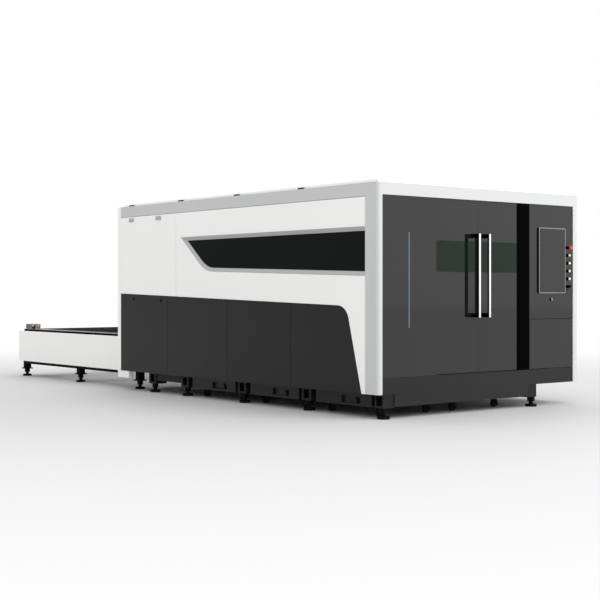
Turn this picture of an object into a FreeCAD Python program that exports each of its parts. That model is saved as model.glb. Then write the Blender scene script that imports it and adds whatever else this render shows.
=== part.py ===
import FreeCAD, Part
import math
import os

# Enclosed fiber laser cutting machine with a two-level exchange table. Millimetres, +Z up.
# Working axes: x runs right from the cabin's left face, y runs back from the front plane, z up
# from the floor. save() moves each piece so that the origin is under the middle of the machine.

# ---- cabin ----
cabin_width = 2870.0
cabin_length = 4690.0
frame_top = 2200.0
panel_bottom = 230.0
panel_depth = 25.0
skin = 3.0
seam = 4.0
tube_wall = 4.0

post_depth = 180.0
left_post_width = 55.0
right_post_width = 85.0
post_round = 35.0
front_rail_height = 116.0
front_rail_depth = 120.0
side_rail_height = 125.0
side_rail_width = 60.0
sill_height = 56.0
stud_width = 50.0

portal_depth = 70.0
portal_foot_length = 250.0
portal_foot_drop = 82.0
rear_wall_depth = 25.0
rear_wall_gap = 20.0
pass_top = 1000.0

roof_rise = 27.0
roof_inset_side = 50.0
roof_inset_end = 55.0
roof_seams = [1158.0, 2248.0, 3328.0]
lug_length = 72.0
lug_width = 30.0
lug_height = 14.0
last_lug = 4400.0

# ---- left side: boundary between the white and the dark panels ----
slope_start_height = 1039.0
slope_rise = 0.0261
swoop_foot_y = 230.0
swoop_lean = 0.263
swoop_round = 165.0
seam_1 = 1300.0
seam_2 = 2400.0
seam_3 = 3580.0
hatch_seam = 3402.0
hinge_rise = 8.0
hinge_length = 105.0
hinge_height = 44.0
hinge_drop = 16.0
hinge_places = [3770.0, 4370.0]

# ---- left side: window ----
window_top = 1795.0
window_top_end = 3305.0
window_low_end = 2820.0
window_low_front = 1331.0
window_low_rise = 0.0277
window_round = 440.0
bevel_width = 43.0
bevel_depth = 18.0
bevel_lip = 3.0
glass_thickness = 6.0

# ---- front ----
front_recess = 8.0
front_sheet = 12.0
column_recess = 10.0
skirt_top = 383.0
skirt_front = 10.0
skirt_depth = 30.0
edge_gap = 2.0
door_left = 760.0
door_meet = 1352.0
door_right = 1935.0
door_front = 24.0
door_thickness = 36.0
door_gap = 2.0
door_lift = 6.0
track_depth = 24.0
track_height = 20.0
door_window_low = 1374.0
door_window_high = 1677.0
door_glass = 5.0
glass_gap = 0.5
ledge_height = 30.0
ledge_back_gap = 5.0
handle_offset = 72.0
handle_width = 26.0
handle_depth = 24.0
handle_gap = 74.0
handle_low = 930.0
handle_high = 1753.0
handle_foot = 42.0
handle_round = 2.5
strip_x = 402.0
strip_gap = 0.2
strip_width = 12.0
strip_low = 843.0
strip_high = 1745.0
column_depth = 8.0
console_left = 2100.0
console_seam = 900.0
box_left = 2400.0
box_depth = 500.0
monitor_left = 2231.0
monitor_right = 2653.0
monitor_low = 1166.0
monitor_high = 1846.0
monitor_stand_out = 16.0
monitor_round = 18.0
button_x = 2703.0
stop_height = 1647.0
button_first = 1565.0
button_pitch = 82.5
button_count = 4
key_height = 1237.0
button_radius = 11.0
collar_radius = 17.0
collar_neck = 13.5
collar_stand_out = 28.0
collar_back = 37.0
button_reach = 9.0
button_travel = 4.0
button_round = 3.0
stop_radius = 20.0
stop_depth = 18.0
stop_reach = 6.0
stop_round = 5.0
key_bow_reach = 22.0
key_bow_height = 18.0
key_bow_width = 3.0
lock_x = 2437.0
lock_height = 1101.0
lock_radius = 10.0
lock_length = 40.0
lock_stand_out = 18.0
lock_slot_width = 3.0
lock_slot_length = 12.0
lock_slot_depth = 3.0
fit_clearance = 0.05
seat_clearance = 0.3

# ---- bed ----
bed_center = 1150.0
bed_half = 1050.0
bed_front = 70.0
base_front = 12.0
base_plate = 8.0
bed_back = 4190.0
beam_width = 140.0
beam_bottom = 230.0
beam_top = 900.0
beam_wall = 12.0
shelf_width = 50.0
shelf_thickness = 16.0
cross_bottom = 240.0
cross_height = 100.0
cross_wall = 8.0
rail_width = 40.0
rail_height = 30.0
rail_end_gap = 20.0
arm_length = 80.0
first_arm = 240.0
filler_inset = 10.0
filler_rise = 40.0
filler_drop = 13.0
plate_rise = 10.0

# ---- feet and their brackets ----
bed_feet_y = [58.0, 1150.0, 2240.0, 3340.0, 4030.0]
table_feet_y = [4530.0, 6010.0, 7554.0]
foot_inset = 20.0
table_foot_inset = 115.0
pad_radius = 60.0
pad_height = 26.0
pad_round = 6.0
neck_radius = 21.0
stud_radius = 12.0
stud_top = 150.0
collar_nut_radius = 40.0
collar_nut_height = 46.0
nut_radius = 25.0
nut_height = 14.0
bracket_length = 150.0
bracket_width = 150.0
bracket_out = 20.0
bracket_low = 100.0
bracket_plate = 12.0
bracket_window = 80.0
window_rise = 22.0
window_drop = 20.0
stud_clearance = 1.0

# ---- pallets and exchange table ----
pallet_side_gap = 6.0
pallet_length = 3100.0
pallet_side = 50.0
pallet_height = 118.7
pallet_ledge = 20.0
slat_pitch = 100.0
slat_thickness = 6.0
slat_height = 72.0
slat_sink = 7.0
ledge_thickness = 10.0
upper_level = 546.0
lower_level = 388.0
upper_start = 3880.0
lower_start = 620.0
table_front = 4200.0
table_end = 7620.0
table_beam = 50.0
table_beam_low = 340.0
table_beam_top = 660.0
table_panel_out = 120.0
table_panel_low = 215.0
table_panel_high = 630.0
under_rail_height = 36.0
under_rail_width = 35.0
under_rail_end = 7505.0
leg_size = 80.0
leg_wall = 6.0
leg_plate = 120.0
stay_places = [4830.0, 6010.0, 7500.0]
stay_low = 400.0
stay_size = 40.0
table_cross_drop = 10.0
table_cross_height = 80.0
table_cross_width = 80.0
end_beam_depth = 40.0
end_beam_drop = 5.0
drive_shelf_front = 7050.0
drive_shelf_width = 460.0
drive_shelf_drop = 14.0
drive_shelf_thickness = 12.0
rail_over_pallet = 40.0

# ---- table drive ----
drive_front = 7395.0
drive_length = 155.0
drive_rise = 62.0
drive_side = 95.0
motor_radius = 58.0
motor_length = 200.0
motor_cap_radius = 50.0
motor_cap_length = 30.0
sensor_gap = 35.0
sensor_length = 90.0
sensor_depth = 30.0
sensor_height = 66.0
sensor_radius = 9.0
sensor_reach = 110.0
sensor_drop = 22.0

# ---- gantry ----
gantry_y = 3560.0
gantry_depth = 240.0
gantry_low = 990.0
gantry_high = 1290.0
gantry_wall = 8.0
gantry_inset = 15.0
shoe_length = 360.0
shoe_side = 25.0
shoe_lift = 6.0
carriage_half = 150.0
carriage_depth = 89.5
carriage_drop = 30.0
carriage_rise = 110.0
hook_reach = 140.0
hook_height = 20.0
head_half = 50.0
head_depth = 89.0
head_rise = 40.0
head_body_rise = 160.0
barrel_radius = 35.0
barrel_rise = 60.0
barrel_length = 100.0
nozzle_tip = 840.0
nozzle_radius = 4.0
nozzle_top_radius = 25.0

# ---- scrap carts ----
cart_pull_x = 95.0
cart_tub_length = 815.0
cart_front_depth = 40.0
wheel_top_gap = 13.0
cart_top = 222.0
cart_wall = 4.0
cart_clearance = 5.0
bay_margin = 130.0
wheel_radius = 42.5
wheel_width = 32.0
axle_radius = 8.0
wheel_first = 155.0
wheel_base = 612.0
wheel_side = 62.0
axle_end = 4.0
fork_thickness = 8.0
fork_width = 40.0
fork_gap = 8.0
fork_below_axle = 16.0
wheel_round = 4.0
pocket_length = 270.0
pocket_height = 68.0
pocket_depth = 24.0
pocket_drop = 32.0
pocket_shift = 114.0
right_cart_pull_x = 1995.0

# ---- worked out from the sizes above ----
handle_front = door_front - handle_gap - handle_depth
origin_x = (cabin_width - hinge_rise) / 2
origin_y = (handle_front + table_end) / 2
portal_y = cabin_length - portal_depth
rail_under = frame_top - side_rail_height
front_rail_under = frame_top - front_rail_height
skirt_back = skirt_front + skirt_depth
bed_left = bed_center - bed_half
pallet_half = bed_half - beam_width - pallet_side_gap
cart_low = 2 * wheel_radius + wheel_top_gap
shelf_left = bed_left + beam_width


def block(x0, y0, z0, x1, y1, z1):
    return Part.makeBox(x1 - x0, y1 - y0, z1 - z0, FreeCAD.Vector(x0, y0, z0))


def tube(x0, y0, z0, x1, y1, z1, wall, along):
    """A rectangular tube, open at both ends of the axis it runs along."""
    low = [x0, y0, z0]
    high = [x1, y1, z1]
    for axis in range(3):
        extra = -1.0 if axis == "xyz".index(along) else wall
        low[axis] += extra
        high[axis] -= extra
    return block(x0, y0, z0, x1, y1, z1).cut(block(*low, *high))


def rod(radius, length, x, y, z, axis):
    directions = {"x": (1, 0, 0), "y": (0, 1, 0), "z": (0, 0, 1)}
    return Part.makeCylinder(
        radius, length, FreeCAD.Vector(x, y, z), FreeCAD.Vector(*directions[axis])
    )


def join(shapes):
    whole = shapes[0].fuse(shapes[1:]) if len(shapes) > 1 else shapes[0]
    return whole.removeSplitter()


def mirror_x(shape, middle):
    return shape.mirror(FreeCAD.Vector(middle, 0, 0), FreeCAD.Vector(1, 0, 0))


def save(name, *shapes):
    group = Part.makeCompound(list(shapes)) if len(shapes) > 1 else shapes[0].copy()
    group.translate(FreeCAD.Vector(-origin_x, -origin_y, 0))
    group.exportStep("parts/" + name + ".step")
    print(name, len(group.Solids), "solid(s)", "valid" if group.isValid() else "NOT VALID")


# An outline is a list of corners (a, b) or (a, b, radius), in turn, anticlockwise.


def inset(points, distance):
    """The same outline with every side moved inwards by one distance."""
    moved = []
    for index, point in enumerate(points):
        before = points[index - 1]
        after = points[(index + 1) % len(points)]
        into = (point[0] - before[0], point[1] - before[1])
        out = (after[0] - point[0], after[1] - point[1])
        into_length = math.hypot(*into)
        out_length = math.hypot(*out)
        normal_in = (-into[1] / into_length, into[0] / into_length)
        normal_out = (-out[1] / out_length, out[0] / out_length)
        turn = normal_in[0] * normal_out[1] - normal_in[1] * normal_out[0]
        dot = normal_in[0] * normal_out[0] + normal_in[1] * normal_out[1]
        reach = distance / (1 + dot)
        corner = [
            point[0] + reach * (normal_in[0] + normal_out[0]),
            point[1] + reach * (normal_in[1] + normal_out[1]),
        ]
        if len(point) == 3:
            corner.append(max(point[2] - math.copysign(distance, turn), 1.0))
        moved.append(tuple(corner))
    return moved


def outline_wire(points, place):
    """Straight sides joined by tangent arcs; place turns (a, b) into a point in space."""
    edges = []
    stops = []
    for index, point in enumerate(points):
        if len(point) == 2:
            stops.append((point, None, point))
            continue
        before = points[index - 1]
        after = points[(index + 1) % len(points)]
        to_before = math.atan2(before[1] - point[1], before[0] - point[0])
        to_after = math.atan2(after[1] - point[1], after[0] - point[0])
        half = abs(math.remainder(to_after - to_before, 2 * math.pi)) / 2
        cut = point[2] / math.tan(half)
        middle = math.atan2(
            math.sin(to_before) + math.sin(to_after), math.cos(to_before) + math.cos(to_after)
        )
        bulge = point[2] / math.sin(half) - point[2]
        stops.append(
            (
                (point[0] + cut * math.cos(to_before), point[1] + cut * math.sin(to_before)),
                (point[0] + bulge * math.cos(middle), point[1] + bulge * math.sin(middle)),
                (point[0] + cut * math.cos(to_after), point[1] + cut * math.sin(to_after)),
            )
        )
    for index, (start, bend, end) in enumerate(stops):
        if bend:
            edges.append(Part.Arc(place(*start[:2]), place(*bend), place(*end[:2])).toShape())
        following = stops[(index + 1) % len(stops)][0]
        edges.append(Part.LineSegment(place(*end[:2]), place(*following[:2])).toShape())
    return Part.Wire(edges)


def side_prism(points, x0, x1):
    wire = outline_wire(points, lambda y, z: FreeCAD.Vector(x0, y, z))
    return Part.Face(wire).extrude(FreeCAD.Vector(x1 - x0, 0, 0))


def front_prism(points, y0, y1):
    wire = outline_wire(points, lambda x, z: FreeCAD.Vector(x, y0, z))
    return Part.Face(wire).extrude(FreeCAD.Vector(0, y1 - y0, 0))


def plan_prism(points, z0, z1):
    wire = outline_wire(points, lambda x, y: FreeCAD.Vector(x, y, z0))
    return Part.Face(wire).extrude(FreeCAD.Vector(0, 0, z1 - z0))


def side_tray(points):
    """A folded side panel: a skin on the outer face and an edge folded in all round."""
    outer = side_prism(points, 0.0, panel_depth)
    return outer.cut(side_prism(inset(points, skin), skin, panel_depth + 1))


def front_tray(x0, z0, x1, z1, y0, y1):
    """A folded front panel, open at its back."""
    inner = block(x0 + skin, y0 + skin, z0 + skin, x1 - skin, y1 + 1, z1 - skin)
    return block(x0, y0, z0, x1, y1, z1).cut(inner)


def slope(y):
    """Height of the boundary between the white and the dark panels."""
    return slope_start_height + slope_rise * y


def swoop_corner():
    """Where the boundary meets the leaning edge behind the front post."""
    height = (slope(swoop_foot_y) - slope_rise * swoop_lean * panel_bottom) / (
        1 - slope_rise * swoop_lean
    )
    return swoop_foot_y + swoop_lean * (height - panel_bottom), height


# ---- cabin frame ----


def front_post(points):
    """A rounded box section post, closed at its top."""
    post = plan_prism(points, panel_bottom, frame_top)
    hollow = plan_prism(inset(points, tube_wall), panel_bottom - 1, frame_top - tube_wall)
    return post.cut(hollow)


def make_front_frame():
    left = [
        (0, 0, post_round),
        (left_post_width, 0),
        (left_post_width, post_depth),
        (0, post_depth),
    ]
    right_start = cabin_width - right_post_width
    right = [
        (right_start, 0),
        (cabin_width, 0, post_round),
        (cabin_width, post_depth),
        (right_start, post_depth),
    ]
    rail = tube(
        left_post_width, 0, front_rail_under, right_start, front_rail_depth, frame_top, tube_wall, "x"
    )
    save("front_frame", front_post(left), rail, front_post(right))


def side_frame():
    """Top rail, sill and studs of the left side, welded together."""
    rail = tube(0, post_depth, rail_under, side_rail_width, portal_y, frame_top, tube_wall, "y")
    sill_low = panel_bottom + seam
    sill_high = sill_low + sill_height
    sill = block(panel_depth, post_depth, sill_low, side_rail_width, portal_y, sill_high)
    pieces = [rail, sill]
    for middle in (seam_1, seam_2, hatch_seam - stud_width / 2 - seam):
        low = middle - stud_width / 2
        high = middle + stud_width / 2
        pieces.append(block(panel_depth, low, sill_high, side_rail_width, high, rail_under))
    hatch_stop = block(
        panel_depth + seat_clearance,
        portal_y - stud_width,
        sill_high,
        side_rail_width,
        portal_y,
        rail_under,
    )
    pieces.append(hatch_stop)
    window_space = block(
        panel_depth - 1,
        post_depth + 1,
        window_low_front - bevel_width,
        side_rail_width + 1,
        hatch_seam - stud_width - 2 * seam,
        window_top + bevel_width,
    )
    return join(pieces).cut(window_space)


def make_rear_portal():
    outer = block(0, portal_y, panel_bottom - portal_foot_drop, cabin_width, cabin_length, frame_top)
    space = block(
        portal_depth,
        portal_y - 1,
        panel_bottom - portal_foot_drop - 1,
        cabin_width - portal_depth,
        cabin_length + 1,
        rail_under,
    )
    foot = block(
        0,
        cabin_length - portal_foot_length,
        panel_bottom - portal_foot_drop,
        portal_depth,
        cabin_length,
        panel_bottom - 2,
    )
    save("rear_portal", join([outer.cut(space), foot, mirror_x(foot, cabin_width / 2)]))


def make_rear_wall():
    low = panel_bottom
    front = portal_y + rear_wall_gap
    back = front + rear_wall_depth
    wall = block(portal_depth, front, low, cabin_width - portal_depth, back, rail_under)
    pass_way = block(
        table_panel_out - seam,
        front - 1,
        low - 1,
        2 * bed_center - table_panel_out + seam,
        back + 1,
        pass_top,
    )
    hollow = block(
        portal_depth + skin,
        front - 1,
        pass_top + skin,
        cabin_width - portal_depth - skin,
        back - skin,
        rail_under - skin,
    )
    save("rear_wall", wall.cut(pass_way).cut(hollow))


def make_roof():
    panels = []
    lugs = []
    stops = [roof_inset_end, *roof_seams, cabin_length - roof_inset_end]
    for front, back in zip(stops, stops[1:]):
        outer = block(
            roof_inset_side,
            front + seam / 2,
            frame_top,
            cabin_width - roof_inset_side,
            back - seam / 2,
            frame_top + roof_rise,
        )
        hollow = block(
            roof_inset_side + skin,
            front + seam / 2 + skin,
            frame_top - 1,
            cabin_width - roof_inset_side - skin,
            back - seam / 2 - skin,
            frame_top + roof_rise - skin,
        )
        panels.append(outer.cut(hollow))
    for middle in [*roof_seams, last_lug]:
        lug = block(
            seam,
            middle - lug_length / 2,
            frame_top,
            seam + lug_width,
            middle + lug_length / 2,
            frame_top + lug_height,
        )
        lugs.extend([lug, mirror_x(lug, cabin_width / 2)])
    save("roof_panels", *panels)
    save("roof_lugs", *lugs)


# ---- side panels ----


def window_points():
    front = post_depth
    low_rise = window_low_rise * (window_low_end - front)
    return [
        (front, window_low_front),
        (window_low_end, window_low_front + low_rise, window_round),
        (window_top_end, window_top),
        (front, window_top),
    ]


def left_upper_panel():
    corner_y, corner_z = swoop_corner()
    back = hatch_seam - seam / 2
    foot_y = swoop_foot_y
    points = [
        (post_depth, panel_bottom),
        (foot_y, panel_bottom),
        (corner_y, corner_z, swoop_round),
        (back, slope(back)),
        (back, rail_under - seam),
        (post_depth, rail_under - seam),
    ]
    return side_tray(points + window_points()[::-1])


def lower_panels():
    corner_y, corner_z = swoop_corner()
    stops = [None, seam_1, seam_2, seam_3, portal_y]
    panels = []
    for front, back in zip(stops, stops[1:]):
        end = back - seam / 2
        tail = [(end, panel_bottom), (end, slope(end) - seam)]
        if front is None:
            lead = [
                (corner_y + seam, corner_z - seam, swoop_round - seam),
                (swoop_foot_y + seam, panel_bottom),
            ]
        else:
            start = front + seam / 2
            lead = [(start, slope(start) - seam), (start, panel_bottom)]
        panels.append(side_tray(tail + lead))
    return panels


def make_left_window():
    around = window_points()
    frame = inset(around, 1.0)
    lip = inset(around, 1.0 + bevel_lip)
    glass_edge = inset(around, bevel_width)
    bevel_start = front_clear(lip)
    bevel_end = front_clear(glass_edge)
    wires = [
        outline_wire(bevel_start, lambda y, z: FreeCAD.Vector(-1, y, z)),
        outline_wire(bevel_end, lambda y, z: FreeCAD.Vector(bevel_depth + 1, y, z)),
    ]
    opening = Part.makeLoft(wires, True, True)
    save("left_window_frame", side_prism(frame, 0, bevel_depth).cut(opening))
    pane = inset(around, bevel_width / 2)
    pane_front = bevel_depth + seat_clearance
    save("left_window_glass", side_prism(pane, pane_front, pane_front + glass_thickness))


def front_clear(points):
    """Run an outline's front end forwards, so that the bevel stays open at the post."""
    low_front, low_end, top_end, top_front = points
    ahead = post_depth - 10
    return [(ahead, low_front[1]), low_end, top_end, (ahead, top_front[1])]


def make_left_side():
    save("left_upper_panel", left_upper_panel())
    save("left_lower_panels", *lower_panels())
    start = hatch_seam + seam / 2
    end = portal_y - seam / 2
    top = rail_under - seam
    points = [(start, slope(start)), (end, slope(end)), (end, top), (start, top)]
    save("left_rear_hatch", side_tray(points))
    hinges = []
    for middle in hinge_places:
        hinges.append(
            block(
                -hinge_rise,
                middle - hinge_length / 2,
                top - hinge_drop - hinge_height,
                0,
                middle + hinge_length / 2,
                top - hinge_drop,
            )
        )
    save("hatch_hinges", *hinges)
    make_left_window()


def make_right_side():
    end = portal_y - seam / 2
    top = rail_under - seam
    upper = [
        (post_depth, slope(post_depth)),
        (end, slope(end)),
        (end, top),
        (post_depth, top),
    ]
    save("right_upper_panel", mirror_x(side_tray(upper), cabin_width / 2))
    stops = [post_depth - seam / 2, seam_1, seam_2, seam_3, portal_y]
    lower = []
    for front, back in zip(stops, stops[1:]):
        start = front + seam / 2
        end = back - seam / 2
        points = [
            (start, panel_bottom),
            (end, panel_bottom),
            (end, slope(end) - seam),
            (start, slope(start) - seam),
        ]
        lower.append(mirror_x(side_tray(points), cabin_width / 2))
    save("right_lower_panels", *lower)


# ---- front ----


def make_fixed_front():
    back = front_recess + front_sheet
    end = door_left - door_gap
    panel = front_tray(left_post_width, skirt_top, end, front_rail_under, front_recess, back)
    strip_left = strip_x - strip_width / 2
    strip_right = strip_x + strip_width / 2
    opening = block(
        strip_left - strip_gap,
        0,
        strip_low - strip_gap,
        strip_right + strip_gap,
        back + 1,
        strip_high + strip_gap,
    )
    save("front_left_panel", panel.cut(opening))
    strip = block(strip_left, front_recess - 1, strip_low, strip_right, back, strip_high)
    save("led_strip", strip)
    column = block(
        door_right + door_gap,
        column_recess,
        skirt_top,
        console_left - door_gap,
        column_recess + column_depth,
        front_rail_under,
    )
    save("entry_column", column)
    skirt_end = cabin_width - right_post_width
    low = panel_bottom + seat_clearance
    skirt = front_tray(left_post_width, low, skirt_end, skirt_top, skirt_front, skirt_back)
    save("front_skirt", skirt)
    plate_left = bed_left + bracket_width - bracket_out - plate_rise
    plate = block(
        plate_left,
        base_front,
        bracket_low + plate_rise,
        2 * bed_center - plate_left,
        base_front + base_plate,
        panel_bottom,
    )
    save("base_front_plate", plate)


def door_leaf(left, right):
    low = skirt_top + door_lift
    high = front_rail_under - seam
    back = door_front + door_thickness
    leaf = front_tray(left, low, right, high, door_front, back)
    track_space = block(
        left - 1, door_front + skin, high - track_height, right + 1, back + 1, high + 1
    )
    top_web = block(
        left, door_front + skin, high - track_height - skin, right, back, high - track_height
    )
    pane_back = door_front + door_glass + 2 * seat_clearance
    half = ledge_height / 2
    ledges = [
        block(left, pane_back, level - half, right, back - ledge_back_gap, level + half)
        for level in (door_window_low, door_window_high)
    ]
    window = block(
        left + skin,
        door_front - 1,
        door_window_low,
        right - skin,
        door_front + skin + 1,
        door_window_high,
    )
    return join([leaf.cut(track_space), top_web, *ledges]).cut(window)


def door_pane(left, right):
    return block(
        left + skin + glass_gap,
        door_front + seat_clearance,
        door_window_low + glass_gap,
        right - skin - glass_gap,
        door_front + seat_clearance + door_glass,
        door_window_high - glass_gap,
    )


def door_handle(middle):
    left = middle - handle_width / 2
    right = middle + handle_width / 2
    bar = block(left, handle_front, handle_low, right, handle_front + handle_depth, handle_high)
    bar = bar.makeFillet(handle_round, [edge for edge in bar.Edges if edge.Length > handle_foot * 2])
    feet = [
        block(left, handle_front + handle_depth / 2, low, right, door_front, low + handle_foot)
        for low in (handle_low, handle_high - handle_foot)
    ]
    return join([bar, *feet])


def make_doors():
    half = door_gap / 2
    leaves = {
        "left": (door_left, door_meet - half, door_meet - handle_offset),
        "right": (door_meet + half, door_right, door_meet + handle_offset),
    }
    for side, (left, right, handle) in leaves.items():
        save(side + "_door", door_leaf(left, right))
        save(side + "_door_glass", door_pane(left, right))
        save(side + "_door_handle", door_handle(handle))
    leaf_top = front_rail_under - seam
    track_front = door_front + skin + edge_gap
    top_track = block(
        left_post_width,
        track_front,
        leaf_top - track_height + seat_clearance,
        box_left - door_gap,
        track_front + track_depth,
        front_rail_under,
    )
    low_track = block(
        left_post_width,
        skirt_back,
        skirt_top - 2 * track_height,
        box_left - door_gap,
        skirt_back + track_depth / 2,
        skirt_top + door_lift - seat_clearance,
    )
    save("door_tracks", top_track, low_track)


def make_console():
    right = cabin_width - right_post_width
    back = front_recess + front_sheet
    low = console_seam + edge_gap
    sheet = front_tray(console_left, low, right, front_rail_under, front_recess, back)
    box = block(box_left, back, skirt_top, right, back + box_depth, front_rail_under)
    room = block(
        box_left + skin,
        back - 1,
        skirt_top + skin,
        right - skin,
        back + box_depth - skin,
        front_rail_under - skin,
    )
    neck = collar_neck + fit_clearance
    for height in control_heights():
        sheet = sheet.cut(rod(neck, back, button_x, 0, height, "y"))
    lock_hole = rod(lock_radius + fit_clearance, back, lock_x, 0, lock_height, "y")
    save("console_housing", sheet.cut(lock_hole), box.cut(room))
    door = front_tray(
        console_left + door_gap,
        skirt_top + door_lift,
        right - seam,
        console_seam - edge_gap,
        front_recess,
        back,
    )
    save("console_door", door)
    corners = [
        (monitor_left, monitor_low, monitor_round),
        (monitor_right, monitor_low, monitor_round),
        (monitor_right, monitor_high, monitor_round),
        (monitor_left, monitor_high, monitor_round),
    ]
    save("monitor", front_prism(corners, front_recess - monitor_stand_out, front_recess))
    lock_front = front_recess - lock_stand_out
    lock = rod(lock_radius, lock_length, lock_x, lock_front, lock_height, "y")
    slot = block(
        lock_x - lock_slot_width / 2,
        lock_front - 1,
        lock_height - lock_slot_length / 2,
        lock_x + lock_slot_width / 2,
        lock_front + lock_slot_depth,
        lock_height + lock_slot_length / 2,
    )
    save("console_lock", lock.cut(slot))


def control_heights():
    buttons = [button_first - index * button_pitch for index in range(button_count)]
    return [stop_height, *buttons, key_height]


def make_controls():
    front = front_recess - collar_stand_out
    collars = []
    for height in control_heights():
        rim = rod(collar_radius, collar_stand_out, button_x, front, height, "y")
        neck = rod(collar_neck, collar_stand_out + collar_back, button_x, front, height, "y")
        bore_length = collar_stand_out + collar_back + 2
        bore = rod(button_radius + fit_clearance, bore_length, button_x, front - 1, height, "y")
        collars.append(join([rim, neck]).cut(bore))
    save("button_collars", *collars)
    length = button_reach + collar_stand_out + collar_back - button_travel - edge_gap
    for index in range(button_count):
        height = button_first - index * button_pitch
        stem = rod(button_radius, length, button_x, front - button_reach, height, "y")
        rim = [edge for edge in stem.Edges if abs(edge.BoundBox.YMax - front + button_reach) < 0.01]
        rim = [edge for edge in rim if edge.BoundBox.XLength > button_radius]
        save("push_button_" + str(index + 1), stem.makeFillet(button_round, rim))
    head_front = front - stop_reach - stop_depth
    stem = rod(button_radius, length, button_x, front - button_reach - stop_reach, stop_height, "y")
    head = rod(stop_radius, stop_depth, button_x, head_front, stop_height, "y")
    edges = [edge for edge in head.Edges if edge.BoundBox.YMax < head_front + 1]
    save("emergency_stop", join([stem, head.makeFillet(stop_round, edges)]))
    rotor = rod(button_radius, length - button_reach, button_x, front - 1, key_height, "y")
    bow = block(
        button_x - key_bow_width / 2,
        front - key_bow_reach,
        key_height - key_bow_height / 2,
        button_x + key_bow_width / 2,
        front,
        key_height + key_bow_height / 2,
    )
    save("key_switch", join([rotor, bow]))


# ---- bed ----


def foot_bracket(foot_y, front_limit):
    """Box bracket under the left beam, with a square window in its outer face."""
    left = bed_left - bracket_out
    right = left + bracket_width
    front = max(foot_y - bracket_length / 2, front_limit)
    back = foot_y + bracket_length / 2
    body = block(left, front, bracket_low, right, back, beam_bottom)
    hollow = block(
        left + bracket_plate,
        front + bracket_plate,
        bracket_low + bracket_plate,
        right - bracket_plate,
        back - bracket_plate,
        beam_bottom - bracket_plate,
    )
    half = bracket_window / 2
    middle = (front + back) / 2
    window = block(
        left - 1,
        middle - half,
        bracket_low + window_rise,
        left + bracket_plate + 1,
        middle + half,
        beam_bottom - window_drop,
    )
    hole_length = 2 * bracket_plate
    hole_low = bracket_low - bracket_plate / 2
    stud_hole = rod(
        stud_radius + stud_clearance, hole_length, bed_left + foot_inset, foot_y, hole_low, "z"
    )
    return body.cut(hollow).cut(window).cut(stud_hole)


def cabin_arm(foot_y, left, right):
    """A short beam that carries the cabin's sill from the bed beam."""
    middle = max(foot_y, first_arm)
    low = panel_bottom + seam
    high = low + sill_height
    return block(left, middle - arm_length / 2, low, right, middle + arm_length / 2, high)


def make_bed():
    beam = tube(
        bed_left, bed_front, beam_bottom, shelf_left, bed_back, beam_top, beam_wall, "y"
    )
    left = [beam]
    shelf_right = shelf_left + shelf_width
    for level in (lower_level, upper_level):
        low = level - shelf_thickness
        left.append(block(shelf_left, bed_front, low, shelf_right, bed_back, level))
    for foot_y in bed_feet_y:
        left.append(foot_bracket(foot_y, base_front + base_plate))
        left.append(cabin_arm(foot_y, side_rail_width, bed_left))
    filler = block(
        bed_left - bracket_out + filler_inset,
        bed_feet_y[3] + bracket_length / 2,
        bracket_low + filler_rise,
        bed_left,
        bed_feet_y[4] - bracket_length / 2,
        panel_bottom - filler_drop,
    )
    left.append(filler)
    right = [mirror_x(piece, bed_center) for piece in left]
    crosses = []
    for foot_y in bed_feet_y[1:]:
        crosses.append(
            tube(
                shelf_left,
                foot_y - cross_height / 2,
                cross_bottom,
                2 * bed_center - shelf_left,
                foot_y + cross_height / 2,
                cross_bottom + cross_height,
                cross_wall,
                "x",
            )
        )
    bed_right = 2 * bed_center - bed_left
    arms = [cabin_arm(foot_y, bed_right, cabin_width - side_rail_width) for foot_y in bed_feet_y]
    save("bed_frame", join(left + right + crosses + arms))
    rail_left = bed_left + beam_width / 2 - rail_width / 2
    rail = block(
        rail_left,
        bed_front + rail_end_gap,
        beam_top,
        rail_left + rail_width,
        bed_back - rail_end_gap,
        beam_top + rail_height,
    )
    save("gantry_rails", rail, mirror_x(rail, bed_center))


def hexagon(radius, low, height):
    corners = []
    for index in range(6):
        turn = index * math.pi / 3
        corners.append((radius * math.cos(turn), radius * math.sin(turn)))
    return plan_prism(corners, low, low + height)


def levelling_foot(x, y):
    """A round pad with a threaded stud and two nuts, which hold the bracket between them."""
    lower_nut = bracket_low - seat_clearance - collar_nut_height
    pad = rod(pad_radius, pad_height, 0, 0, 0, "z")
    rim = [edge for edge in pad.Edges if edge.BoundBox.ZMin > pad_height - 1]
    pieces = [
        pad.makeFillet(pad_round, rim),
        rod(neck_radius, lower_nut - pad_height, 0, 0, pad_height, "z"),
        rod(stud_radius, stud_top - lower_nut, 0, 0, lower_nut, "z"),
        hexagon(collar_nut_radius, lower_nut, collar_nut_height),
        hexagon(nut_radius, bracket_low + bracket_plate + seat_clearance, nut_height),
    ]
    foot = join(pieces)
    foot.translate(FreeCAD.Vector(x, y, 0))
    return foot


def make_feet():
    feet = []
    for inset_x, rows in ((foot_inset, bed_feet_y), (table_foot_inset, table_feet_y)):
        for y in rows:
            feet.append(levelling_foot(bed_left + inset_x, y))
            feet.append(levelling_foot(2 * bed_center - bed_left - inset_x, y))
    save("levelling_feet", *feet)


# ---- pallets and exchange table ----


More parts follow.
